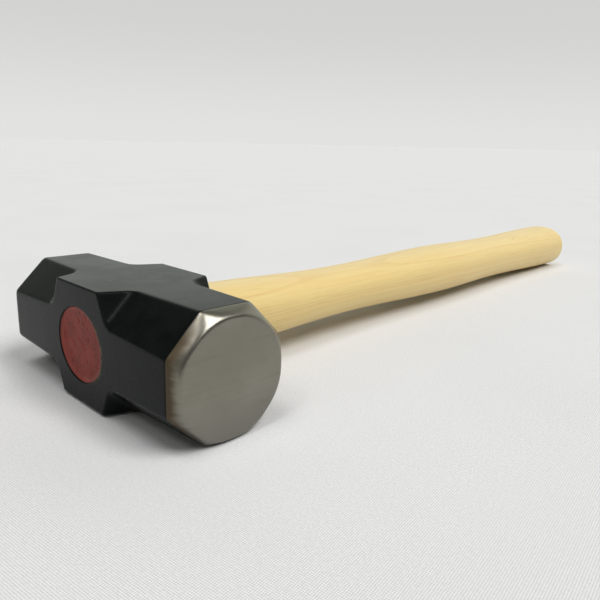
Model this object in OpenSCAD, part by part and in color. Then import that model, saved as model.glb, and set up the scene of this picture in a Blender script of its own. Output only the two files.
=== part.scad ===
// Double-face octagonal sledge hammer: a forged head on a wedged wooden handle, with a sealed eye.
// The origin is the centre of the lower cheek, straight below the middle of the eye.
// +X runs along the head, +Y along the handle away from the head, and +Z is up.

/* [Head] */
// Length of the head, from striking face to striking face
head_len = 118; // [100:1:140]
// Width of the head along the handle's line
head_w = 45; // [42:0.5:52]
// Height of the head, from cheek to cheek
head_h = 44; // [42:0.5:50]
// Length of the full cheek between the sloped shoulders
cheek_len = 30; // [26:0.5:36]
// Run of each sloped shoulder, from the cheek's corner to the corner facet
shoulder_run = 5; // [3:0.5:8]
// Depth of each corner facet beside the shoulder, measured along the cheek
facet_inner = 11.3; // [9:0.1:12]
// Depth of each corner facet at the striking end, measured along the cheek
facet_outer = 12.5; // [10:0.1:13]
// Radius of the fillet at the foot of each shoulder
shoulder_fillet = 4; // [1:0.5:5]

/* [Striking faces] */
// Diameter of the flat ground on each striking face
face_d = 41.2; // [36:0.2:41.4]
// Distance of the ground flat below the middle of the head
face_drop = 0.8; // [0:0.1:0.8]
// Length of the bevel between the octagon and the flat
bevel_len = 4.6; // [3:0.1:6]

/* [Eye] */
// Length of the eye's mouth along the head
eye_len = 30.6; // [28:0.2:32]
// Height of the eye's mouth
eye_h = 27.4; // [25:0.2:27.4]
// Narrowing of the eye on each side, from its mouths to its waist
eye_waist = 0.7; // [0.3:0.1:1.2]

/* [Handle] */
// Distance from the middle of the eye to the handle's end
handle_reach = 378; // [340:1:400]
// Width of the handle beyond its thickness
handle_widening = 7.2; // [4:0.4:10]
// Thickness of the handle at the shoulder beside the head
shoulder_t = 27.8; // [27.6:0.2:30]
// Thickness of the handle at the throat
throat_t = 23.4; // [22:0.2:27]
// Thickness of the handle at the belly
belly_t = 28; // [27:0.2:32]
// Thickness of the handle at the waist behind the hand
waist_t = 26.4; // [24:0.2:30]
// Thickness of the handle at the swell of its end
swell_t = 30.2; // [29:0.2:34]
// Radius that rounds the handle's end
end_round = 4.5; // [3:0.5:8]

/* [Fixing] */
// Depth of the sealed eye below the head's front side
seal_recess = 1; // [0.5:0.1:2]
// Thickness of the resin seal
seal_t = 2; // [1:0.1:3]
// Depth of the saw kerf in the tenon
kerf_depth = 32; // [28:1:36]
// Thickness of the wooden wedge at its thick end
wood_wedge_t = 5.4; // [4:0.2:7]
// Thickness of the steel wedges at their thick ends
steel_wedge_t = 3; // [2:0.2:4]
// Distance of each steel wedge from the middle of the eye
steel_wedge_offset = 7; // [5:0.5:8]

/* [Hidden] */

$fn = 72;
fit_gap = 0.05;
over = 20;

half_len = head_len / 2;
half_w = head_w / 2;
half_h = head_h / 2;
face_r = face_d / 2;
bevel_start = half_len - bevel_len;
// Turned rim left between each flat bevel and the ground flat
face_rim = 0.3;
// The bevels on the corner facets start this much nearer the face than the others
corner_bevel_lag = 0.2;

// Distances from the head's axis, measured square to a corner facet
corner_reach = (half_w + half_h) / sqrt(2);
facet_reach_inner = corner_reach - facet_inner / sqrt(2);
facet_reach_outer = corner_reach - facet_outer / sqrt(2);

eye_r = eye_h / 2;
eye_spread = (eye_len - eye_h) / 2;
handle_spread = handle_widening / 2;
tenon_front = -half_w + seal_recess + seal_t;

wood_wedge_len = kerf_depth - 4;
wood_wedge_tip = 1.4;
steel_wedge_len = 18;
steel_wedge_w = 13;
steel_wedge_tip = 0.8;
barb_count = 4;
barb_depth = 0.3;

shoulder_y = half_w + 0.2;
shoulder_slope = 5;
curve_steps = 8;
// Places along the handle as distance from the eye and half the thickness there
handle_stations = [
    [shoulder_y + shoulder_slope, shoulder_t / 2],
    [handle_reach * 0.30, throat_t / 2],
    [handle_reach * 0.565, belly_t / 2],
    [handle_reach * 0.715, waist_t / 2],
    [handle_reach - end_round, swell_t / 2]
];

function mix(a, b, t) = a + (b - a) * t;
function ease(t) = (1 - cos(180 * t)) / 2;
function unit(v) = v / norm(v);

// Handle's side between its stations, as half thickness and distance
function handle_side() = [
    for (i = [0 : len(handle_stations) - 2])
        for (step = [0 : curve_steps - 1])
            let (
                a = handle_stations[i],
                b = handle_stations[i + 1],
                t = step / curve_steps
            )
            [mix(a[1], b[1], ease(t)), mix(a[0], b[0], t)]
];

function handle_end() = [
    for (angle = [0 : 15 : 90])
        [
            swell_t / 2 - end_round * (1 - cos(angle)),
            handle_reach - end_round * (1 - sin(angle))
        ]
];

// Points that round the corner at p between directions u and v
function fillet(p, u, v, r) =
    let (
        half_angle = acos(u * v) / 2,
        centre = p + unit(u + v) * r / sin(half_angle),
        from = p + u * r / tan(half_angle) - centre,
        to = p + v * r / tan(half_angle) - centre,
        steps = 6
    )
    [for (i = [0 : steps]) centre + unit(mix(from, to, i / steps)) * r];

// Puts a child's +Z on the handle's line, at the height of the eye
module along_handle() {
    translate([0, 0, half_h])
        rotate([-90, 0, 0])
            children();
}

// Oval solid along +Z, with round sides that follow the outline on either side of a flat middle
module oval_solid(outline, spread) {
    last = len(outline) - 1;
    mirrored = [for (i = [last : -1 : 0]) [-outline[i][0], outline[i][1]]];
    for (side = [-1, 1])
        translate([side * spread, 0, 0])
            rotate_extrude()
                polygon(concat([[0, outline[0][1]]], outline, [[0, outline[last][1]]]));
    rotate([90, 0, 90])
        linear_extrude(2 * spread, center = true)
            polygon(concat(outline, mirrored));
}

// The eye's form, widest at both mouths, made smaller all round by gap
module eye_form(gap = 0) {
    mouth_r = eye_r - gap;
    waist_r = eye_r - eye_waist - gap;
    along_handle()
        oval_solid([[mouth_r, -half_w], [waist_r, 0], [mouth_r, half_w]], eye_spread);
}

// Everything in front of the tenon's end
module front_space() {
    translate([-over, -half_w - over, 0])
        cube([2 * over, tenon_front + half_w + over, head_h]);
}

// Material cut from one corner at one end: facet, sloped shoulder and the fillet between them
module corner_cut() {
    foot = [cheek_len / 2 + shoulder_run, facet_reach_inner];
    up_shoulder = [cheek_len / 2, corner_reach] - foot;
    along_facet = [bevel_start, facet_reach_outer] - foot;
    linear_extrude(2 * head_w, center = true)
        polygon(concat(
            [foot + 2 * up_shoulder],
            fillet(foot, unit(up_shoulder), unit(along_facet), shoulder_fillet),
            [foot + 2 * along_facet, [foot[0] + 2 * along_facet[0], 2 * corner_reach]]
        ));
}

// Flat bevel at the striking end on the side that faces angle
module bevel_cut(angle) {
    is_corner = angle % 90 != 0;
    is_side = angle % 180 == 0;
    side_reach = is_corner ? facet_reach_outer : is_side ? half_w : half_h;
    flat_reach = face_r + face_rim - face_drop * sin(angle);
    start_x = bevel_start + (is_corner ? corner_bevel_lag : 0);
    slope = [half_len - start_x, flat_reach - side_reach];
    outside = [start_x, side_reach] - slope;
    beyond = outside + 3 * slope;
    rotate([angle, 0, 0])
        linear_extrude(2 * head_w, center = true)
            polygon([outside, beyond, [beyond[0], 2 * corner_reach], [outside[0], 2 * corner_reach]]);
}

// Cone-ended envelope that turns the bevels round into the ground flats
module ground_envelope() {
    cone_len = corner_reach;
    translate([0, 0, -face_drop])
        rotate([0, 90, 0])
            rotate_extrude()
                polygon([
                    [0, -half_len],
                    [face_r, -half_len],
                    [face_r + cone_len, -half_len + cone_len],
                    [face_r + cone_len, half_len - cone_len],
                    [face_r, half_len],
                    [0, half_len]
                ]);
}

module head_blank() {
    intersection() {
        difference() {
            cube([head_len, head_w, head_h], center = true);
            for (end = [0, 1])
                mirror([end, 0, 0]) {
                    for (angle = [45 : 90 : 315])
                        rotate([angle, 0, 0])
                            corner_cut();
                    for (angle = [0 : 45 : 315])
                        bevel_cut(angle);
                }
        }
        ground_envelope();
    }
}

// Tapered space of the wooden wedge, seen from the side and as wide as the eye
module wood_wedge_space(gap = 0) {
    rotate([90, 0, 90])
        linear_extrude(2 * over, center = true)
            polygon([
                [tenon_front, half_h - wood_wedge_t / 2 - gap],
                [tenon_front + wood_wedge_len, half_h - wood_wedge_tip / 2 - gap],
                [tenon_front + wood_wedge_len, half_h + wood_wedge_tip / 2 + gap],
                [tenon_front, half_h + wood_wedge_t / 2 + gap]
            ]);
}

module saw_kerf() {
    wood_wedge_space(fit_gap);
    translate([-over, tenon_front, half_h - wood_wedge_tip / 2 - fit_gap])
        cube([2 * over, kerf_depth, wood_wedge_tip + 2 * fit_gap]);
}

// Barbed steel wedge on one side of the eye, made larger by gap
module steel_wedge_form(side, gap = 0) {
    pitch = steel_wedge_len / (barb_count + 0.5);
    flank = [
        for (i = [0 : barb_count - 1])
            for (tooth = [0, 1])
                let (
                    depth = (i + 0.9 * tooth) * pitch,
                    half_t = mix(steel_wedge_t, steel_wedge_tip, depth / steel_wedge_len) / 2
                )
                [half_t - tooth * barb_depth + gap, depth]
    ];
    tip = [[steel_wedge_tip / 2 - barb_depth / 2 + gap, steel_wedge_len + gap]];
    half_outline = concat(flank, tip);
    mirrored = [for (i = [len(half_outline) - 1 : -1 : 0]) [-half_outline[i][0], half_outline[i][1]]];
    translate([side * steel_wedge_offset, tenon_front, half_h])
        linear_extrude(steel_wedge_w + 2 * gap, center = true)
            polygon(concat(half_outline, mirrored));
}

module head() {
    color([0.10, 0.11, 0.11])
        difference() {
            translate([0, 0, half_h])
                head_blank();
            eye_form();
        }
}

module handle() {
    color([0.90, 0.79, 0.56])
        difference() {
            union() {
                eye_form(fit_gap);
                along_handle()
                    oval_solid([[eye_r - fit_gap, half_w], [eye_r - fit_gap, shoulder_y + 1]], eye_spread);
                along_handle()
                    oval_solid(
                        concat([[eye_r, shoulder_y]], handle_side(), handle_end()),
                        handle_spread
                    );
            }
            front_space();
            saw_kerf();
            steel_wedge_form(-1, fit_gap);
            steel_wedge_form(1, fit_gap);
        }
}

module wooden_wedge() {
    color([0.78, 0.62, 0.40])
        difference() {
            intersection() {
                eye_form(2 * fit_gap);
                wood_wedge_space();
            }
            steel_wedge_form(-1, fit_gap);
            steel_wedge_form(1, fit_gap);
        }
}

module steel_wedge_left() {
    color([0.55, 0.56, 0.58])
        steel_wedge_form(-1);
}

module steel_wedge_right() {
    color([0.55, 0.56, 0.58])
        steel_wedge_form(1);
}

module eye_seal() {
    color([0.50, 0.14, 0.13])
        intersection() {
            eye_form(fit_gap);
            translate([-over, tenon_front - seal_t, 0])
                cube([2 * over, seal_t - fit_gap, head_h]);
        }
}

head();
handle();
wooden_wedge();
steel_wedge_left();
steel_wedge_right();
eye_seal();
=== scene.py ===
import math
import bmesh
import bpy
import numpy as np
from mathutils import Matrix, Vector


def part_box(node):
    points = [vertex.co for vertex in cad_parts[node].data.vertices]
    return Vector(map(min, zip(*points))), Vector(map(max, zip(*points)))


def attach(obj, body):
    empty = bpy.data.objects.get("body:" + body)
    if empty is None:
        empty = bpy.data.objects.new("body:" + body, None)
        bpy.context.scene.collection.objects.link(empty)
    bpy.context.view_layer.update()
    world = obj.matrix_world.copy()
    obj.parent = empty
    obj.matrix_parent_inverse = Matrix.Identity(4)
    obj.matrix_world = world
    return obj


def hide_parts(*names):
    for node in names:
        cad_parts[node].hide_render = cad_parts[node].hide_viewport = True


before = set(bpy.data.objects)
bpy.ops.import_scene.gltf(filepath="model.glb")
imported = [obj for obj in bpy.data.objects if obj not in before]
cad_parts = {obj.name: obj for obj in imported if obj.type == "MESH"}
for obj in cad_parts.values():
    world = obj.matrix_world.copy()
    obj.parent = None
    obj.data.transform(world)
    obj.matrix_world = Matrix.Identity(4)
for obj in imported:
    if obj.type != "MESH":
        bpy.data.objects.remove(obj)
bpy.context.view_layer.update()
headLow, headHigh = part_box("head")
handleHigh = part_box("handle")[1]
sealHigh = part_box("eye_seal")[1]
fitGap = 0.00005  # between the tenon, the wedges and the eye

halfLen = headHigh.x
halfW = headHigh.y
halfH = (headHigh.z - headLow.z) / 2
axisHeight = headLow.z + halfH
print("frame loaded, head", [round(v, 4) for v in headHigh - headLow])


def softMin(a, b, width):
    share = np.clip(0.5 + 0.5 * (b - a) / width, 0, 1)
    return b + (a - b) * share - width * share * (1 - share)


def softMax(a, b, width):
    return -softMin(-a, -b, width)


def ease(t):
    return (1 - np.cos(np.pi * t)) / 2


def unit(v):
    return v / np.linalg.norm(v)


def pieceFromRings(name, rings):
    # rings run along the piece, each closed on itself, and a fan closes each end
    ringCount, around = rings.shape[:2]
    grid = np.arange(ringCount * around).reshape(ringCount, around)
    here, ahead = grid[:-1], grid[1:]
    quads = np.stack([here, np.roll(here, -1, 1), np.roll(ahead, -1, 1), ahead], axis=-1)
    first, last = ringCount * around, ringCount * around + 1
    startFan = [(first, b, a) for a, b in zip(grid[0], np.roll(grid[0], -1))]
    endFan = [(last, a, b) for a, b in zip(grid[-1], np.roll(grid[-1], -1))]
    points = np.vstack([rings.reshape(-1, 3), rings[0].mean(0), rings[-1].mean(0)])
    faces = quads.reshape(-1, 4).tolist() + np.array(startFan + endFan).tolist()
    mesh = bpy.data.meshes.new(name)
    mesh.from_pydata(points.tolist(), [], faces)
    mesh.polygons.foreach_set("use_smooth", [True] * len(mesh.polygons))
    mesh.update()
    piece = bpy.data.objects.new(name, mesh)
    bpy.context.scene.collection.objects.link(piece)
    return piece


def cutAway(piece, cutters):
    for cutter in cutters:
        cut = piece.modifiers.new("cut", "BOOLEAN")
        cut.operation = "DIFFERENCE"
        cut.solver = "EXACT"
        cut.object = cutter
    applyModifiers(piece)


def applyModifiers(piece):
    shaped = piece.evaluated_get(bpy.context.evaluated_depsgraph_get())
    mesh = bpy.data.meshes.new_from_object(shaped)
    piece.modifiers.clear()
    piece.data = mesh


def crispFlats(piece):
    # large flat faces set the normals, so only the rounded edges shade as curves
    weighted = piece.modifiers.new("crispFlats", "WEIGHTED_NORMAL")
    weighted.mode = "FACE_AREA"
    weighted.weight = 60
    weighted.keep_sharp = True


def addNode(tree, kind, **values):
    node = tree.nodes.new(kind)
    for key, value in values.items():
        if key in node.inputs:
            node.inputs[key].default_value = value
        else:
            setattr(node, key, value)
    return node


def newGroup(name, inputs, outputs):
    group = bpy.data.node_groups.new(name, "ShaderNodeTree")
    for socketName, kind, start in inputs:
        socket = group.interface.new_socket(socketName, in_out="INPUT", socket_type=kind)
        socket.default_value = start
    for socketName, kind in outputs:
        group.interface.new_socket(socketName, in_out="OUTPUT", socket_type=kind)
    return group, group.nodes.new("NodeGroupInput"), group.nodes.new("NodeGroupOutput")


def newMaterial(name, viewColour):
    material = bpy.data.materials.new(name)
    material.use_nodes = True
    material.diffuse_color = (*viewColour, 1)
    tree = material.node_tree
    return material, tree, tree.nodes["Principled BSDF"]


def linkedGroup(tree, place, group, **values):
    node = tree.nodes.new("ShaderNodeGroup")
    node.node_tree = group
    for key, value in values.items():
        node.inputs[key].default_value = value
    tree.links.new(place, node.inputs["Vector"])
    return node


def blendColours(tree, factor, first, second):
    mix = tree.nodes.new("ShaderNodeMix")
    mix.data_type = "RGBA"
    for socket, value in ((mix.inputs[0], factor), (mix.inputs[6], first), (mix.inputs[7], second)):
        if isinstance(value, bpy.types.NodeSocket):
            tree.links.new(value, socket)
        else:
            socket.default_value = value
    return mix.outputs[2]


def calc(tree, operation, first, second=0.0):
    node = tree.nodes.new("ShaderNodeMath")
    node.operation = operation
    for socket, value in ((node.inputs[0], first), (node.inputs[1], second)):
        if isinstance(value, bpy.types.NodeSocket):
            tree.links.new(value, socket)
        else:
            socket.default_value = value
    return node.outputs[0]


def ramp(tree, value, low, high, startOut=0.0, endOut=1.0):
    node = tree.nodes.new("ShaderNodeMapRange")
    node.interpolation_type = "SMOOTHSTEP"
    for socket, setting in zip(node.inputs, (value, low, high, startOut, endOut)):
        if isinstance(setting, bpy.types.NodeSocket):
            tree.links.new(setting, socket)
        else:
            socket.default_value = setting
    return node.outputs[0]


def buildMottle():
    # cloudy variation and a fine grain, for lacquer, ground steel, resin and the wedges
    group, ins, outs = newGroup(
        "mottle",
        [("Vector", "NodeSocketVector", (0, 0, 0)), ("Cloud Scale", "NodeSocketFloat", 40.0),
         ("Grain Scale", "NodeSocketFloat", 900.0), ("Grain Share", "NodeSocketFloat", 0.3)],
        [("Cloud", "NodeSocketFloat"), ("Grain", "NodeSocketFloat"), ("Height", "NodeSocketFloat")],
    )
    link = group.links.new
    cloud = addNode(group, "ShaderNodeTexNoise", Detail=4.0, Roughness=0.55)
    grain = addNode(group, "ShaderNodeTexNoise", Detail=2.0, Roughness=0.6)
    link(ins.outputs["Vector"], cloud.inputs["Vector"])
    link(ins.outputs["Vector"], grain.inputs["Vector"])
    link(ins.outputs["Cloud Scale"], cloud.inputs["Scale"])
    link(ins.outputs["Grain Scale"], grain.inputs["Scale"])
    cloudMask = ramp(group, cloud.outputs["Fac"], 0.3, 0.7)
    grainPart = calc(group, "MULTIPLY", grain.outputs["Fac"], ins.outputs["Grain Share"])
    link(cloudMask, outs.inputs["Cloud"])
    link(grain.outputs["Fac"], outs.inputs["Grain"])
    link(calc(group, "ADD", cloud.outputs["Fac"], grainPart), outs.inputs["Height"])
    return group


def buildStreaks():
    # fine parallel scratches along one axis of the given vector
    group, ins, outs = newGroup(
        "streaks",
        [("Vector", "NodeSocketVector", (0, 0, 0)), ("Stretch", "NodeSocketVector", (1, 1, 1)),
         ("Scale", "NodeSocketFloat", 1.0)],
        [("Fine", "NodeSocketFloat"), ("Broad", "NodeSocketFloat")],
    )
    link = group.links.new
    stretched = addNode(group, "ShaderNodeVectorMath", operation="MULTIPLY")
    link(ins.outputs["Vector"], stretched.inputs[0])
    link(ins.outputs["Stretch"], stretched.inputs[1])
    fine = addNode(group, "ShaderNodeTexNoise", Detail=3.0, Roughness=0.7)
    broad = addNode(group, "ShaderNodeTexNoise", Detail=2.0, Roughness=0.5)
    for noise in (fine, broad):
        link(stretched.outputs[0], noise.inputs["Vector"])
    link(ins.outputs["Scale"], fine.inputs["Scale"])
    link(calc(group, "MULTIPLY", ins.outputs["Scale"], 0.22), broad.inputs["Scale"])
    link(fine.outputs["Fac"], outs.inputs["Fine"])
    link(broad.outputs["Fac"], outs.inputs["Broad"])
    return group


def buildGrowthRings():
    # yearly rings round a pith beside the piece, each ending in a darker late edge
    group, ins, outs = newGroup(
        "growthRings",
        [("Vector", "NodeSocketVector", (0, 0, 0)), ("Pith", "NodeSocketVector", (0, 0, 0)),
         ("Spacing", "NodeSocketFloat", 0.002), ("Wander", "NodeSocketFloat", 0.002)],
        [("Late", "NodeSocketFloat"), ("Year", "NodeSocketFloat")],
    )
    link = group.links.new
    offset = addNode(group, "ShaderNodeVectorMath", operation="SUBTRACT")
    link(ins.outputs["Vector"], offset.inputs[0])
    link(ins.outputs["Pith"], offset.inputs[1])
    across = addNode(group, "ShaderNodeVectorMath", operation="MULTIPLY")
    across.inputs[1].default_value = (1, 0, 1)
    link(offset.outputs[0], across.inputs[0])
    radius = addNode(group, "ShaderNodeVectorMath", operation="LENGTH")
    link(across.outputs[0], radius.inputs[0])
    drawn = addNode(group, "ShaderNodeVectorMath", operation="MULTIPLY")
    drawn.inputs[1].default_value = (70, 9, 70)
    link(ins.outputs["Vector"], drawn.inputs[0])
    wobble = addNode(group, "ShaderNodeTexNoise", Scale=1.0, Detail=2.0, Roughness=0.5)
    link(drawn.outputs[0], wobble.inputs["Vector"])
    sway = calc(group, "MULTIPLY", calc(group, "SUBTRACT", wobble.outputs["Fac"], 0.5), ins.outputs["Wander"])
    turns = calc(group, "DIVIDE", calc(group, "ADD", radius.outputs["Value"], sway), ins.outputs["Spacing"])
    share = calc(group, "FRACT", turns)
    late = calc(group, "MULTIPLY", ramp(group, share, 0.25, 0.85), ramp(group, share, 0.88, 1.0, 1, 0))
    year = addNode(group, "ShaderNodeTexWhiteNoise", noise_dimensions="1D")
    link(calc(group, "FLOOR", turns), year.inputs["W"])
    link(late, outs.inputs["Late"])
    link(year.outputs["Value"], outs.inputs["Year"])
    return group


def buildEyeReach():
    # place along the eye and distance from its middle, both 1 at the wall of the eye
    group, ins, outs = newGroup(
        "eyeReach",
        [("Vector", "NodeSocketVector", (0, 0, 0)), ("Half Length", "NodeSocketFloat", 0.015),
         ("Half Height", "NodeSocketFloat", 0.014), ("Axis Height", "NodeSocketFloat", 0.022)],
        [("Along", "NodeSocketFloat"), ("Reach", "NodeSocketFloat")],
    )
    link = group.links.new
    axes = group.nodes.new("ShaderNodeSeparateXYZ")
    link(ins.outputs["Vector"], axes.inputs[0])
    along = calc(group, "DIVIDE", axes.outputs["X"], ins.outputs["Half Length"])
    above = calc(group, "SUBTRACT", axes.outputs["Z"], ins.outputs["Axis Height"])
    up = calc(group, "DIVIDE", above, ins.outputs["Half Height"])
    squares = calc(group, "ADD", calc(group, "MULTIPLY", along, along), calc(group, "MULTIPLY", up, up))
    link(along, outs.inputs["Along"])
    link(calc(group, "SQRT", squares), outs.inputs["Reach"])
    return group


mottleGroup = buildMottle()
streaksGroup = buildStreaks()
ringsGroup = buildGrowthRings()
eyeReachGroup = buildEyeReach()


headShape = dict(
    cheekLen=0.0300,  # full cheek between the shoulders
    shoulderRun=0.0050,
    facetInner=0.0113,  # depth of a corner facet beside the shoulder
    facetOuter=0.0125,  # and at the striking end
    shoulderBlend=0.0034,
    faceD=0.0412,
    faceDrop=0.0008,
    faceRim=0.0003,
    bevelLen=0.0046,
    edgeSoft=0.0008,
    groundEdgeSoft=0.0004,  # where the bevels meet the lacquered sides
    bevelSoft=0.0007,
    rimSoft=0.0008,
    creaseReach=0.0015,  # fine rings this far to each side of a crease
    footReach=0.0035,  # and past the foot of the shoulder
    aimDepth=0.008,  # the end's rays start this far behind its bevel
    samplesPerFlat=24,
    halvings=36,
)
eyeShape = dict(length=0.0306, height=0.0274, waist=0.0007, mouthRound=0.0006, overshoot=0.002, around=144)

faceR = headShape["faceD"] / 2
bevelStart = halfLen - headShape["bevelLen"]
cheekHalf = headShape["cheekLen"] / 2
cornerReach = (halfW + halfH) / math.sqrt(2)
facetReachInner = cornerReach - headShape["facetInner"] / math.sqrt(2)
facetReachOuter = cornerReach - headShape["facetOuter"] / math.sqrt(2)


def facetReachAt(x):
    along = (x - cheekHalf - headShape["shoulderRun"]) / (bevelStart - cheekHalf - headShape["shoulderRun"])
    return facetReachInner + (facetReachOuter - facetReachInner) * along


def shoulderReachAt(x):
    return cornerReach - (x - cheekHalf) * (cornerReach - facetReachInner) / headShape["shoulderRun"]


def headField(p):
    # below zero inside the head; z is measured from the head's axis
    x, y, z = np.abs(p[..., 0]), p[..., 1], p[..., 2]
    corner = (np.abs(y) + np.abs(z)) / math.sqrt(2)
    facet = corner - facetReachAt(x)
    shoulderRise = (cornerReach - facetReachInner) / headShape["shoulderRun"]
    shoulder = (corner - shoulderReachAt(x)) / math.hypot(1, shoulderRise)
    field = softMax(np.abs(y) - halfW, np.abs(z) - halfH, headShape["edgeSoft"])
    field = softMax(field, softMin(facet, shoulder, headShape["shoulderBlend"]), headShape["edgeSoft"])
    end = (x - halfLen + np.hypot(y, z + headShape["faceDrop"]) - faceR) / math.sqrt(2)
    for step in range(8):
        angle = step * math.pi / 4
        sideReach = (halfW, facetReachOuter, halfH, facetReachOuter)[step % 4]
        flatReach = faceR + headShape["faceRim"] - headShape["faceDrop"] * math.sin(angle)
        across = y * math.cos(angle) + z * math.sin(angle)
        normal = unit(np.array([sideReach - flatReach, headShape["bevelLen"]]))
        bevel = (x - bevelStart) * normal[0] + (across - sideReach) * normal[1]
        end = softMax(end, bevel, headShape["bevelSoft"])
    end = softMax(end, x - halfLen, headShape["rimSoft"])
    return softMax(field, end, headShape["groundEdgeSoft"])


def headPoints(origins, targets):
    # where rays from inside the head leave it
    ways = targets - origins
    ways = ways / np.linalg.norm(ways, axis=-1, keepdims=True)
    near, far = np.zeros(ways.shape[:-1]), np.full(ways.shape[:-1], 2 * halfW)
    for _ in range(headShape["halvings"]):
        middle = (near + far) / 2
        inside = headField(origins + ways * middle[..., None]) < 0
        near, far = np.where(inside, middle, near), np.where(inside, far, middle)
    return origins + ways * near[..., None]


def octagonCorners(x):
    # the eight corners of the head's section, from the +Y side round to +Z
    reach = softMax(facetReachAt(x), shoulderReachAt(x), headShape["shoulderBlend"])
    reach = min(reach, cornerReach - headShape["edgeSoft"] / 3)
    sideZ, topY = reach * math.sqrt(2) - halfW, reach * math.sqrt(2) - halfH
    return np.array([
        [halfW, -sideZ], [halfW, sideZ], [topY, halfH], [-topY, halfH],
        [-halfW, sideZ], [-halfW, -sideZ], [-topY, -halfH], [topY, -halfH],
    ])


def octagonSamples(corners, crowded):
    # points on the octagon, crowded towards its corners or evenly spread in angle
    count = headShape["samplesPerFlat"]
    share = np.arange(count) / count
    ahead = np.roll(corners, -1, 0)
    if crowded:
        share = ease(share)
        return (corners[:, None] + (ahead - corners)[:, None] * share[None, :, None]).reshape(-1, 2)
    start = np.arctan2(corners[:, 1], corners[:, 0])
    turn = (np.arctan2(ahead[:, 1], ahead[:, 0]) - start) % (2 * np.pi)
    angles = (start[:, None] + turn[:, None] * share).ravel()
    circle = np.column_stack([np.cos(angles), np.sin(angles)]) * faceR
    return circle - np.array([0, headShape["faceDrop"]])


def headStations():
    # start, end and number of rings of each span
    foot, crease = cheekHalf + headShape["shoulderRun"], headShape["creaseReach"]
    spans = [
        (0, cheekHalf - crease, 6), (cheekHalf - crease, cheekHalf + crease, 9),
        (cheekHalf + crease, foot - crease, 5), (foot - crease, foot + headShape["footReach"], 12),
        (foot + headShape["footReach"], bevelStart - crease, 9),
    ]
    return [start + (end - start) * i / count for start, end, count in spans for i in range(count)]


def headHalfRings():
    rings = []
    for x in headStations():
        section = octagonSamples(octagonCorners(x), True)
        targets = np.column_stack([np.full(len(section), x), section])
        rings.append(headPoints(np.array([x, 0, 0]) + 0 * targets, targets))
    edge = octagonSamples(octagonCorners(bevelStart), True)
    rim = octagonSamples(octagonCorners(bevelStart), False)
    middle = np.array([bevelStart - headShape["aimDepth"], 0, -headShape["faceDrop"]])
    edgePoints = np.column_stack([np.full(len(edge), bevelStart), edge])
    rimPoints = np.column_stack([np.full(len(rim), halfLen), rim])
    facePoint = np.array([halfLen, 0, -headShape["faceDrop"]])
    stepsBack = (headShape["creaseReach"], 0.0009, 0.0005, 0.00025)
    targetRings = [edgePoints - [back, 0, 0] for back in stepsBack]
    bevelShares = (0, 0.05, 0.12, 0.25, 0.4, 0.55, 0.7, 0.82, 0.9, 0.95, 0.98, 1)
    targetRings += [edgePoints + (rimPoints - edgePoints) * share for share in bevelShares]
    faceShares = (0.01, 0.02, 0.032, 0.046, 0.062, 0.08, 0.1, 0.13, 0.2, 0.4, 0.65, 0.9)
    targetRings += [rimPoints + (facePoint - rimPoints) * share for share in faceShares]
    rings += [headPoints(middle + 0 * targets, targets) for targets in targetRings]
    return rings


def eyeRadii(y, gap=0.0):
    # half length and half height of the eye at y, narrowest in the middle of the head
    inset = eyeShape["waist"] * (1 - np.abs(y) / halfW) + gap
    return eyeShape["length"] / 2 - inset, eyeShape["height"] / 2 - inset


def ovalRing(halfX, halfZ, y, around, power=2.0):
    angles = np.arange(around) * 2 * np.pi / around
    cosine, sine = np.cos(angles), np.sin(angles)
    x = halfX * np.sign(cosine) * np.abs(cosine) ** (2 / power)
    z = halfZ * np.sign(sine) * np.abs(sine) ** (2 / power)
    return np.column_stack([x, np.full(around, y), z + axisHeight])


def buildEyeCutter():
    # depth and widening of the mouth as shares of its rounding, after one ring outside the head
    rounding = eyeShape["mouthRound"]
    shares = [(0, 0.9), (0.06, 0.62), (0.15, 0.45), (0.3, 0.25), (0.5, 0.11), (0.75, 0.03), (1, 0)]
    places = [(halfW + eyeShape["overshoot"], 2.6)]
    places += [(halfW - depth * rounding, widening) for depth, widening in shares]
    rings = []
    for side in (-1, 1):
        mouth = []
        for reach, widening in places:
            halfX, halfZ = eyeRadii(min(reach, halfW))
            wider = widening * rounding
            mouth.append(ovalRing(halfX + wider, halfZ + wider, side * reach, eyeShape["around"]))
        rings += mouth if side < 0 else [ovalRing(*eyeRadii(0), 0, eyeShape["around"])] + mouth[::-1]
    return pieceFromRings("eyeCutter", np.array(rings)[:, ::-1])


def buildHead():
    half = np.array(headHalfRings())
    mirrored = half[:0:-1] * np.array([-1, 1, 1])
    rings = np.concatenate([mirrored, half])
    rings[..., 2] += axisHeight
    head = pieceFromRings("sledgeHead", rings)
    cutter = buildEyeCutter()
    cutAway(head, [cutter])
    bpy.data.objects.remove(cutter)
    crispFlats(head)
    return head


head = buildHead()
print("head built,", len(head.data.polygons), "faces")


handleShape = dict(
    widening=0.0036,  # extra half width beyond the half thickness
    shoulderT=0.0278,
    throatT=0.0234,
    bellyT=0.0280,
    waistT=0.0264,
    swellT=0.0302,
    throatAt=0.30,  # places along the handle, as shares of its reach
    bellyAt=0.565,
    waistAt=0.715,
    endRound=0.0045,
    sectionPower=2.25,  # 2 is a true oval, more is squarer
    headGap=0.0002,  # between the head and the handle's shoulder
    shoulderLen=0.005,
    shoulderEdge=0.0008,
    stretchRings=24,
    around=96,
    kerfDepth=0.0320,
    kerfWidth=0.0014,
    kerfOvershoot=0.001,
    kerfHalfLen=0.02,
)


def handleStations():
    # place along the handle and half thickness there
    reach, start = handleHigh.y, halfW + handleShape["headGap"]
    places = [start + handleShape["shoulderLen"]]
    places += [reach * handleShape[name] for name in ("throatAt", "bellyAt", "waistAt")]
    places.append(reach - handleShape["endRound"])
    names = ("shoulderT", "throatT", "bellyT", "waistT", "swellT")
    return [(y, handleShape[name] / 2) for y, name in zip(places, names)]


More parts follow.
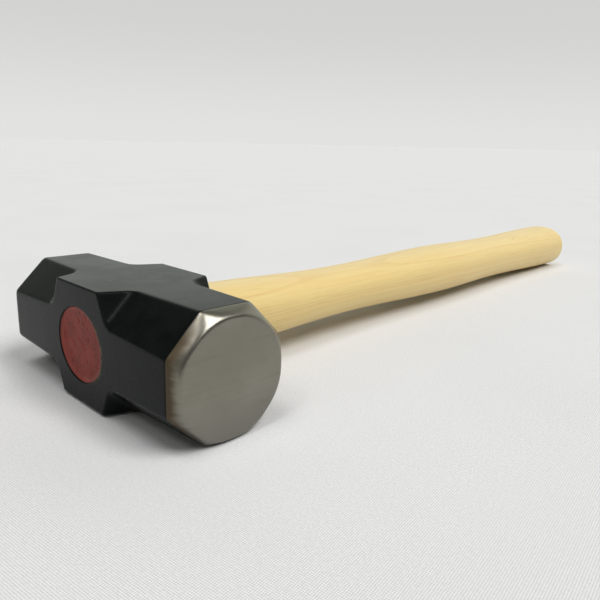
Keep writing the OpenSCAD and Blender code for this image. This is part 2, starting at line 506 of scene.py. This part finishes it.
def handleOutline():
    stations = handleStations()
    shoulder, start, edge = stations[0][1], halfW + handleShape["headGap"], handleShape["shoulderEdge"]
    outline = [(start, shoulder - edge)]
    outline += [(start + edge * (1 - math.cos(a)), shoulder - edge * (1 - math.sin(a)))
                for a in np.linspace(0, math.pi / 2, 5)[1:]]
    shares = np.arange(handleShape["stretchRings"]) / handleShape["stretchRings"]
    for (y0, t0), (y1, t1) in zip(stations, stations[1:]):
        outline += [(y0 + (y1 - y0) * share, t0 + (t1 - t0) * ease(share)) for share in shares]
    turn = np.linspace(0, math.pi / 2, 9)
    y, t = stations[-1]
    outline += [(y + handleShape["endRound"] * math.sin(a), t - handleShape["endRound"] * (1 - math.cos(a)))
                for a in turn]
    return outline


def buildHandle():
    tenonFront = sealHigh.y + fitGap
    tenonPlaces = [*np.linspace(tenonFront, 0, 8)[:-1], *np.linspace(0, halfW, 8)]
    tenon = [(y, *eyeRadii(y, fitGap)) for y in tenonPlaces]
    body = [(y, t + handleShape["widening"], t) for y, t in handleOutline()]
    rings = [ovalRing(a, b, y, handleShape["around"]) for y, a, b in tenon]
    rings += [ovalRing(a, b, y, handleShape["around"], handleShape["sectionPower"]) for y, a, b in body]
    lastA, lastB = body[-1][1:]
    for share in (0.9, 0.7, 0.45, 0.2):
        rings.append(ovalRing(lastA * share, lastB * share, handleHigh.y, handleShape["around"],
                              handleShape["sectionPower"]))
    rings = np.array(rings)[:, ::-1]
    handle = pieceFromRings("hardwoodHandle", rings)
    cutters = [buildKerfCutter(tenonFront)]
    cutters += [buildWedgeCutter(name) for name in ("steel_wedge_left", "steel_wedge_right")]
    cutAway(handle, cutters)
    for cutter in cutters:
        bpy.data.objects.remove(cutter)
    crispFlats(handle)
    return handle


def buildKerfCutter(tenonFront):
    wedgeLow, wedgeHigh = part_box("wooden_wedge")
    thick, thin = (wedgeHigh.z - wedgeLow.z) / 2 + fitGap, handleShape["kerfWidth"] / 2 + fitGap
    profile = [(tenonFront - handleShape["kerfOvershoot"], thick), (wedgeLow.y, thick), (wedgeHigh.y, thin),
               (tenonFront + handleShape["kerfDepth"], thin)]
    profile += [(y, -z) for y, z in reversed(profile)]
    ends = (-handleShape["kerfHalfLen"], handleShape["kerfHalfLen"])
    rings = np.array([[(x, y, axisHeight + z) for y, z in profile] for x in ends])
    return pieceFromRings("kerfCutter", rings)


def buildWedgeCutter(nodeName):
    # a slightly larger copy of a steel wedge, to make its pocket in the tenon
    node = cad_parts[nodeName]
    low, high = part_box(nodeName)
    middle, extent = (low + high) / 2, high - low
    grow = Matrix.Diagonal([1 + 2 * fitGap / side for side in extent] + [1])
    shape = bmesh.new()
    shape.from_mesh(node.data)
    shape.transform(Matrix.Translation(middle) @ grow @ Matrix.Translation(-middle) @ node.matrix_world)
    bmesh.ops.remove_doubles(shape, verts=shape.verts, dist=1e-6)
    mesh = bpy.data.meshes.new("wedgeCutter")
    shape.to_mesh(mesh)
    shape.free()
    cutter = bpy.data.objects.new("wedgeCutter", mesh)
    bpy.context.scene.collection.objects.link(cutter)
    return cutter


handle = buildHandle()
print("handle built,", len(handle.data.polygons), "faces")


sealShape = dict(
    level=0.0011,  # depth of the poured surface below the head's side
    climb=0.0008,  # how far the resin climbs the wall of the eye
    climbWidth=0.0005,
    wallGap=0.00002,
    dish=0.00015,
    pits=26,
    pitSpread=0.9,  # share of the seal that the pits lie in
    pitWidth=0.0007,
    pitSizes=(0.5, 1.3),
    pitDepth=0.00028,
    around=160,
    seed=7,
)


def buildSeal():
    front = -halfW
    halfX, halfZ = eyeRadii(front, sealShape["wallGap"])
    shares = 1 - np.concatenate([[0, 0.006, 0.015, 0.028, 0.045, 0.07, 0.1], np.linspace(0.14, 0.98, 22)])
    rng = np.random.default_rng(sealShape["seed"])
    spread = np.sqrt(rng.random(sealShape["pits"])) * sealShape["pitSpread"]
    turn = rng.random(sealShape["pits"]) * 2 * math.pi
    pits = np.column_stack([spread * halfX * np.cos(turn), spread * halfZ * np.sin(turn)])
    sizes = sealShape["pitWidth"] * rng.uniform(*sealShape["pitSizes"], sealShape["pits"])
    rings = [ovalRing(*eyeRadii(sealHigh.y, sealShape["wallGap"]), sealHigh.y, sealShape["around"])]
    for share in shares:
        ring = ovalRing(halfX * share, halfZ * share, front, sealShape["around"])
        inward = (1 - share) * halfZ
        depth = sealShape["level"] - sealShape["climb"] * math.exp(-inward / sealShape["climbWidth"])
        depth += sealShape["dish"] * (1 - share ** 2)
        for (x, z), size in zip(pits, sizes):
            gap = np.hypot(ring[:, 0] - x, ring[:, 2] - axisHeight - z)
            ring[:, 1] += sealShape["pitDepth"] * np.exp(-(gap / size) ** 2)
        ring[:, 1] += depth
        rings.append(ring)
    seal = pieceFromRings("resinSeal", np.array(rings))
    crispFlats(seal)
    return seal


seal = buildSeal()
print("seal built,", len(seal.data.polygons), "faces")


def placeMottle(tree, place, look):
    return linkedGroup(tree, place, mottleGroup, **{
        "Cloud Scale": look["cloudScale"], "Grain Scale": look["grainScale"], "Grain Share": look["grainShare"],
    })


def objectVector(tree):
    return tree.nodes.new("ShaderNodeTexCoord").outputs["Object"]


def surfaceBump(tree, shader, height, strength, distance):
    bump = addNode(tree, "ShaderNodeBump", Strength=strength, Distance=distance)
    tree.links.new(height, bump.inputs["Height"])
    tree.links.new(bump.outputs["Normal"], shader.inputs["Normal"])


def placeEyeReach(tree, place):
    return linkedGroup(tree, place, eyeReachGroup, **{
        "Half Length": eyeShape["length"] / 2, "Half Height": eyeShape["height"] / 2, "Axis Height": axisHeight,
    })


def makeHeadLacquer():
    look = dict(
        dark=(0.0042, 0.0055, 0.0052, 1), light=(0.0070, 0.0088, 0.0080, 1), residue=(0.15, 0.115, 0.045, 1),
        residueInner=(0.99, 1.01), residueOuter=(1.02, 1.13), residuePatches=(0.48, 0.60),
        cloudScale=75.0, grainScale=1400.0, grainShare=0.5,
        roughness=(0.24, 0.29), ior=1.17, bump=(0.2, 0.0004),
    )
    material, tree, shader = newMaterial("headLacquer", (0.05, 0.055, 0.055))
    place = objectVector(tree)
    mottle = placeMottle(tree, place, look)
    colour = blendColours(tree, mottle.outputs["Cloud"], look["dark"], look["light"])

    # pale glue and resin left in a patchy line along one side of the eye's rim
    axes = tree.nodes.new("ShaderNodeSeparateXYZ")
    tree.links.new(place, axes.inputs[0])
    eye = placeEyeReach(tree, place)
    rim = calc(tree, "MULTIPLY", ramp(tree, eye.outputs["Reach"], *look["residueInner"]),
               ramp(tree, eye.outputs["Reach"], *look["residueOuter"], 1, 0))
    side = calc(tree, "MULTIPLY", ramp(tree, eye.outputs["Along"], 0.55, 0.9),
                ramp(tree, axes.outputs["Y"], -0.015, -0.02))
    patches = ramp(tree, mottle.outputs["Grain"], *look["residuePatches"])
    left = calc(tree, "MULTIPLY", calc(tree, "MULTIPLY", rim, side), patches)
    colour = blendColours(tree, left, colour, look["residue"])
    tree.links.new(colour, shader.inputs["Base Color"])
    roughness = ramp(tree, mottle.outputs["Cloud"], 0.0, 1.0, *look["roughness"])
    tree.links.new(roughness, shader.inputs["Roughness"])
    shader.inputs["IOR"].default_value = look["ior"]
    surfaceBump(tree, shader, mottle.outputs["Height"], *look["bump"])
    return material


def makeGroundSteel():
    look = dict(
        dark=(0.235, 0.222, 0.185, 1), light=(0.275, 0.262, 0.222, 1), streak=(0.22, 0.195, 0.15, 1),
        # the darker grey beside the brown is painted shade for the bottom of the flat
        brown=(0.105, 0.080, 0.052, 1), lowFaceShade=(0.20, 0.197, 0.170, 1),
        roughness=(0.30, 0.40), bevelRoughness=0.33, stainRoughness=0.25, bump=(0.08, 0.0002),
        scratches=(300.0, 110.0, 2400.0), cloudScale=45.0, grainScale=2200.0, grainShare=0.4,
        stainRagged=0.003, stainDepth=(0.0012, 0.0048), stainFront=(-0.010, -0.018),
        lowFaceShadeHeight=(-0.002, -0.019),
    )
    material, tree, shader = newMaterial("groundSteel", (0.45, 0.43, 0.40))
    place = objectVector(tree)
    streaks = linkedGroup(tree, place, streaksGroup, Stretch=look["scratches"], Scale=1.0)
    mottle = placeMottle(tree, place, look)
    base = blendColours(tree, mottle.outputs["Cloud"], look["dark"], look["light"])
    base = blendColours(tree, ramp(tree, streaks.outputs["Broad"], 0.5, 0.75, 0, 0.5), base, look["streak"])

    # the bevels are smoother than the flat, and the front ones are stained brown along their outer edge
    axes = tree.nodes.new("ShaderNodeSeparateXYZ")
    tree.links.new(place, axes.inputs[0])
    up = calc(tree, "SUBTRACT", axes.outputs["Z"], axisHeight - headShape["faceDrop"])
    reach = calc(tree, "SQRT", calc(tree, "ADD", calc(tree, "MULTIPLY", up, up),
                                    calc(tree, "MULTIPLY", axes.outputs["Y"], axes.outputs["Y"])))
    onBevel = ramp(tree, reach, faceR - 0.0010, faceR + 0.0006)
    outwards = calc(tree, "ABSOLUTE", axes.outputs["X"])
    ragged = calc(tree, "MULTIPLY", calc(tree, "SUBTRACT", streaks.outputs["Broad"], 0.5), look["stainRagged"])
    stainStart, stainEnd = (bevelStart + depth for depth in look["stainDepth"])
    outer = ramp(tree, calc(tree, "ADD", outwards, ragged), stainStart, stainEnd, 1, 0)
    front = ramp(tree, axes.outputs["Y"], *look["stainFront"])
    stain = calc(tree, "MULTIPLY", outer, front)
    # painted shade: the flat darkens towards its bottom, standing in for the shade where it nears the floor
    base = blendColours(tree, ramp(tree, up, *look["lowFaceShadeHeight"], 0, 0.8), base, look["lowFaceShade"])
    tinted = blendColours(tree, stain, base, look["brown"])
    tree.links.new(tinted, shader.inputs["Base Color"])
    shader.inputs["Metallic"].default_value = 1.0
    roughness = ramp(tree, streaks.outputs["Fine"], 0.3, 0.7, *look["roughness"])
    bevelPart = calc(tree, "MULTIPLY", onBevel, calc(tree, "SUBTRACT", look["bevelRoughness"], roughness))
    roughness = calc(tree, "ADD", roughness, bevelPart)
    stainPart = calc(tree, "MULTIPLY", stain, look["stainRoughness"])
    tree.links.new(calc(tree, "ADD", roughness, stainPart), shader.inputs["Roughness"])
    surfaceBump(tree, shader, streaks.outputs["Fine"], *look["bump"])
    return material


def makeWood(name, look):
    # long rings and fibres of one hardwood, with pin knots where they are wanted
    material, tree, shader = newMaterial(name, look["pale"][:3])
    place = objectVector(tree)
    rings = linkedGroup(tree, place, ringsGroup, Pith=look["pith"], Spacing=look["ringSpacing"],
                        Wander=look["wander"])
    fibres = linkedGroup(tree, place, streaksGroup, Stretch=(1500.0, 26.0, 1500.0), Scale=1.0)
    strength = calc(tree, "MULTIPLY", rings.outputs["Late"],
                    ramp(tree, rings.outputs["Year"], 0.0, 1.0, look["faintRing"], look["strongRing"]))
    colour = blendColours(tree, strength, look["pale"], look["late"])
    broad = ramp(tree, fibres.outputs["Broad"], 0.42, 0.68, 0, look["broad"])
    colour = blendColours(tree, broad, colour, look["warm"])
    fine = ramp(tree, fibres.outputs["Fine"], 0.52, 0.72, 0, look["fine"])
    colour = blendColours(tree, fine, colour, look["fibre"])

    knotPlace = addNode(tree, "ShaderNodeVectorMath", operation="MULTIPLY")
    knotPlace.inputs[1].default_value = (1, look["knotStretch"], 1)
    tree.links.new(place, knotPlace.inputs[0])
    knots = addNode(tree, "ShaderNodeTexVoronoi", Scale=look["knotScale"])
    tree.links.new(knotPlace.outputs[0], knots.inputs["Vector"])
    chosen = tree.nodes.new("ShaderNodeSeparateColor")
    tree.links.new(knots.outputs["Color"], chosen.inputs[0])
    rare = ramp(tree, chosen.outputs["Red"], look["knotRare"], look["knotRare"] + 0.01)
    spot = ramp(tree, knots.outputs["Distance"], look["knotSize"] * 0.3, look["knotSize"], 1, 0)
    colour = blendColours(tree, calc(tree, "MULTIPLY", rare, spot), colour, look["knot"])
    tree.links.new(colour, shader.inputs["Base Color"])
    roughness = ramp(tree, fibres.outputs["Fine"], 0.3, 0.7, *look["roughness"])
    tree.links.new(roughness, shader.inputs["Roughness"])
    surfaceBump(tree, shader, fibres.outputs["Fine"], 0.15, 0.0002)
    return material


def makeHandleWood():
    return makeWood("handleWood", dict(
        pale=(0.79, 0.600, 0.255, 1), late=(0.62, 0.40, 0.125, 1), warm=(0.75, 0.51, 0.185, 1),
        fibre=(0.62, 0.41, 0.15, 1), knot=(0.28, 0.13, 0.045, 1),
        pith=(-0.030, 0.0, -0.110), ringSpacing=0.0013, wander=0.0011, faintRing=0.06, strongRing=0.32,
        broad=0.38, fine=0.40, knotScale=90.0, knotStretch=0.45, knotRare=0.60, knotSize=0.09,
        roughness=(0.31, 0.42),
    ))


def makeWedgeWood():
    return makeWood("wedgeWood", dict(
        pale=(0.52, 0.33, 0.15, 1), late=(0.33, 0.18, 0.07, 1), warm=(0.45, 0.26, 0.11, 1),
        fibre=(0.28, 0.15, 0.06, 1), knot=(0.15, 0.07, 0.03, 1),
        pith=(0.010, 0.0, -0.020), ringSpacing=0.0012, wander=0.0015, faintRing=0.3, strongRing=0.8,
        broad=0.5, fine=0.5, knotScale=90.0, knotStretch=0.45, knotRare=0.99, knotSize=0.05,
        roughness=(0.55, 0.7),
    ))


def makeSealResin():
    look = dict(
        deep=(0.185, 0.023, 0.015, 1), light=(0.260, 0.037, 0.024, 1), pit=(0.055, 0.012, 0.010, 1),
        # the pale pink is a painted highlight for the rim of the seal
        rimHighlight=(0.36, 0.13, 0.11, 1), rimHighlightReach=(0.84, 0.97), bubbleScale=520.0,
        cloudScale=160.0, grainScale=2600.0, grainShare=0.5,
        roughness=(0.38, 0.55), ior=1.25, bump=(0.25, 0.0003),
    )
    material, tree, shader = newMaterial("sealResin", (0.42, 0.1, 0.09))
    place = objectVector(tree)
    mottle = placeMottle(tree, place, look)
    colour = blendColours(tree, mottle.outputs["Cloud"], look["deep"], look["light"])
    bubbles = addNode(tree, "ShaderNodeTexVoronoi", Scale=look["bubbleScale"])
    tree.links.new(place, bubbles.inputs["Vector"])
    chosen = tree.nodes.new("ShaderNodeSeparateColor")
    tree.links.new(bubbles.outputs["Color"], chosen.inputs[0])
    pits = calc(tree, "MULTIPLY", ramp(tree, chosen.outputs["Green"], 0.80, 0.84),
                ramp(tree, bubbles.outputs["Distance"], 0.10, 0.28, 1, 0))
    colour = blendColours(tree, pits, colour, look["pit"])

    # painted highlight: a pale rim painted all round the seal next to the wall of the eye
    eye = placeEyeReach(tree, place)
    edge = calc(tree, "MULTIPLY", ramp(tree, eye.outputs["Reach"], *look["rimHighlightReach"], 0, 0.6),
                mottle.outputs["Grain"])
    colour = blendColours(tree, edge, colour, look["rimHighlight"])
    tree.links.new(colour, shader.inputs["Base Color"])
    roughness = ramp(tree, mottle.outputs["Grain"], 0.2, 0.8, *look["roughness"])
    tree.links.new(roughness, shader.inputs["Roughness"])
    shader.inputs["IOR"].default_value = look["ior"]
    surfaceBump(tree, shader, mottle.outputs["Height"], *look["bump"])
    return material


headLacquer = makeHeadLacquer()
groundSteel = makeGroundSteel()
handleWood = makeHandleWood()
wedgeWood = makeWedgeWood()
sealResin = makeSealResin()


def dress(piece, *materials):
    piece.data.materials.clear()
    for material in materials:
        piece.data.materials.append(material)


dress(head, headLacquer, groundSteel)
for face in head.data.polygons:
    face.material_index = int(abs(face.center.x) > bevelStart + 0.00002)
dress(handle, handleWood)
dress(seal, sealResin)
for node, material in (("wooden_wedge", wedgeWood), ("steel_wedge_left", groundSteel),
                       ("steel_wedge_right", groundSteel)):
    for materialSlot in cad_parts[node].material_slots:
        materialSlot.material = material

for piece, node, slot in ((head, "head", "head_lacquer"), (handle, "handle", "handle_wood"),
                          (seal, "eye_seal", "seal_resin")):
    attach(piece, "root")
    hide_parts(node)
print("materials on")


floorSet = dict(
    radius=14.0, colour=(0.832, 0.826, 0.835, 1), shade=(0.804, 0.80, 0.81, 1), gap=(0.50, 0.50, 0.48, 1),
    weavePitch=0.0009, weaveTurn=38, weaveContrast=0.62, weaveFade=(0.14, 0.40), weaveMean=0.42,
    cloudScale=9.0, grainScale=1100.0, grainShare=0.4,
)
lightSet = dict(
    keyFrom=(0.585, 0.15, 0.797), keySpread=30, keyPower=1.9,
    overheadFrom=(0.0, -0.25, 0.968), overheadSpread=24, overheadPower=0.78,
    stripFrom=(0.12, -0.58, 0.805), stripSpread=12, stripPower=0.30,
    glintFrom=(0.35, 0.24, 0.905), glintSpread=14, glintPower=0.34,
    backdropFrom=(-0.45, 0.89, 0.0), backdrop=0.9, windowFrom=(0.15, -0.95, 0.25), window=0.4,
    backdropEdge=(0.25, 0.70), backdropTop=(0.5, 0.95), backdropFoot=(0.05, 0.25), windowEdge=(0.72, 0.93),
    sideFrom=(-0.97, -0.20, 0.15), sideEdge=(0.93, 0.985), side=0.4,
    room=0.04, roomTint=(0.95, 1.0, 0.92, 1),
    fill=0.85,  # share of the room's light that matt surfaces get
    pale=0.765, paleTop=0.22, paleFall=0.84,
)
cameraSet = dict(place=(0.19295, -0.11215, 0.09199), azimuth=43.622, elevation=14.364, roll=2.010, focal=35.376)


def buildFloor():
    # the hammer lies on the handle-side edge of its cheek and on the swell of its handle
    swell = handleStations()[-1]
    rise = axisHeight - swell[1]
    tilt = math.atan2(rise, swell[0] - halfW)
    sheet = bmesh.new()
    bmesh.ops.create_circle(sheet, cap_ends=True, segments=128, radius=floorSet["radius"])
    mesh = bpy.data.meshes.new("floorCloth")
    sheet.to_mesh(mesh)
    sheet.free()
    floor = bpy.data.objects.new("floorCloth", mesh)
    bpy.context.scene.collection.objects.link(floor)
    floor.matrix_world = Matrix.Translation((0, halfW, 0)) @ Matrix.Rotation(tilt, 4, "X")
    material, tree, shader = newMaterial("floorCloth", (0.8, 0.8, 0.8))
    place = objectVector(tree)
    mottle = placeMottle(tree, place, floorSet)
    turned = addNode(tree, "ShaderNodeVectorRotate", rotation_type="Z_AXIS",
                     Angle=math.radians(floorSet["weaveTurn"]))
    tree.links.new(place, turned.inputs["Vector"])
    axes = tree.nodes.new("ShaderNodeSeparateXYZ")
    tree.links.new(turned.outputs[0], axes.inputs[0])
    turns = 2 * math.pi / floorSet["weavePitch"]
    threads = [calc(tree, "SINE", calc(tree, "MULTIPLY", axes.outputs[axis], turns)) for axis in ("X", "Y")]
    weave = calc(tree, "ADD", calc(tree, "MULTIPLY", threads[0], threads[1]),
                 calc(tree, "MULTIPLY", mottle.outputs["Grain"], 1.5))
    base = blendColours(tree, mottle.outputs["Cloud"], floorSet["colour"], floorSet["shade"])
    away = addNode(tree, "ShaderNodeVectorMath", operation="LENGTH")
    tree.links.new(place, away.inputs[0])
    near = ramp(tree, away.outputs["Value"], *floorSet["weaveFade"], 1, 0.15)
    gaps = calc(tree, "MULTIPLY", ramp(tree, weave, 0.1, 1.4, floorSet["weaveContrast"], 0), near)
    # far off the threads run together, so their share of shade goes into the plain colour
    blurred = floorSet["weaveContrast"] * floorSet["weaveMean"]
    blur = calc(tree, "MULTIPLY", calc(tree, "SUBTRACT", 1.0, near), blurred)
    colour = blendColours(tree, calc(tree, "ADD", gaps, blur), base, floorSet["gap"])
    tree.links.new(colour, shader.inputs["Base Color"])
    shader.inputs["Roughness"].default_value = 0.9
    surfaceBump(tree, shader, weave, 0.2, 0.0002)
    dress(floor, material)


def buildLights():
    for name in ("key", "overhead", "strip", "glint"):
        lamp = bpy.data.lights.new(name + "Softbox", "SUN")
        lamp.angle = math.radians(lightSet[name + "Spread"])
        lamp.energy = lightSet[name + "Power"]
        lampObject = bpy.data.objects.new(name + "Softbox", lamp)
        lampObject.rotation_euler = Vector(lightSet[name + "From"]).to_track_quat("Z", "Y").to_euler()
        bpy.context.scene.collection.objects.link(lampObject)

    # a pale sweep of cloth behind the hammer, a dim room elsewhere, and an even pale backdrop to look at
    world = bpy.data.worlds.new("studio")
    world.use_nodes = True
    bpy.context.scene.world = world
    tree = world.node_tree
    background = tree.nodes["Background"]
    direction = tree.nodes.new("ShaderNodeTexCoord").outputs["Generated"]
    split = tree.nodes.new("ShaderNodeSeparateXYZ")
    tree.links.new(direction, split.inputs[0])
    height = split.outputs["Z"]
    towards = []
    for name in ("backdropFrom", "windowFrom", "sideFrom"):
        facing = addNode(tree, "ShaderNodeVectorMath", operation="DOT_PRODUCT")
        tree.links.new(direction, facing.inputs[0])
        facing.inputs[1].default_value = lightSet[name]
        towards.append(facing.outputs["Value"])
    sweep = calc(tree, "MULTIPLY", ramp(tree, towards[0], *lightSet["backdropEdge"]),
                 ramp(tree, height, *lightSet["backdropTop"], 1, 0))
    sweep = calc(tree, "MULTIPLY", sweep, ramp(tree, height, *lightSet["backdropFoot"], 0.7, 1))
    window = ramp(tree, towards[1], *lightSet["windowEdge"], 0, lightSet["window"])
    side = ramp(tree, towards[2], *lightSet["sideEdge"], lightSet["room"], lightSet["side"])
    sweep = calc(tree, "MULTIPLY", sweep, lightSet["backdrop"])
    room = calc(tree, "ADD", calc(tree, "ADD", side, window), sweep)
    paleHigh = lightSet["pale"] * lightSet["paleFall"]
    pale = ramp(tree, height, 0.0, lightSet["paleTop"], lightSet["pale"], paleHigh)
    rays = tree.nodes.new("ShaderNodeLightPath")
    eyeRay = rays.outputs["Is Camera Ray"]
    room = calc(tree, "MULTIPLY", room, ramp(tree, rays.outputs["Is Diffuse Ray"], 0, 1, 1, lightSet["fill"]))
    shade = calc(tree, "ADD", calc(tree, "MULTIPLY", pale, eyeRay),
                 calc(tree, "MULTIPLY", room, calc(tree, "SUBTRACT", 1.0, eyeRay)))
    tree.links.new(shade, background.inputs["Strength"])
    tint = blendColours(tree, eyeRay, lightSet["roomTint"], (1.0, 1.0, 0.99, 1))
    tree.links.new(tint, background.inputs["Color"])


def buildCamera():
    azimuth, elevation, roll = (math.radians(cameraSet[key]) for key in ("azimuth", "elevation", "roll"))
    back = Vector((math.sin(azimuth) * math.cos(elevation), -math.cos(azimuth) * math.cos(elevation),
                   math.sin(elevation)))
    level = Vector((math.cos(azimuth), math.sin(azimuth), 0))
    rise = back.cross(level)
    right = level * math.cos(roll) + rise * math.sin(roll)
    up = rise * math.cos(roll) - level * math.sin(roll)
    lens = bpy.data.cameras.new("productCamera")
    lens.sensor_width = 36
    lens.lens = cameraSet["focal"]
    lens.clip_start, lens.clip_end = 0.01, 60
    camera = bpy.data.objects.new("productCamera", lens)
    turn = Matrix((right, up, back)).transposed().to_4x4()
    camera.matrix_world = Matrix.Translation(cameraSet["place"]) @ turn
    bpy.context.scene.collection.objects.link(camera)
    bpy.context.scene.camera = camera


buildFloor()
buildLights()
buildCamera()
bpy.context.scene.view_settings.view_transform = "Standard"
print("floor, light and camera ready")
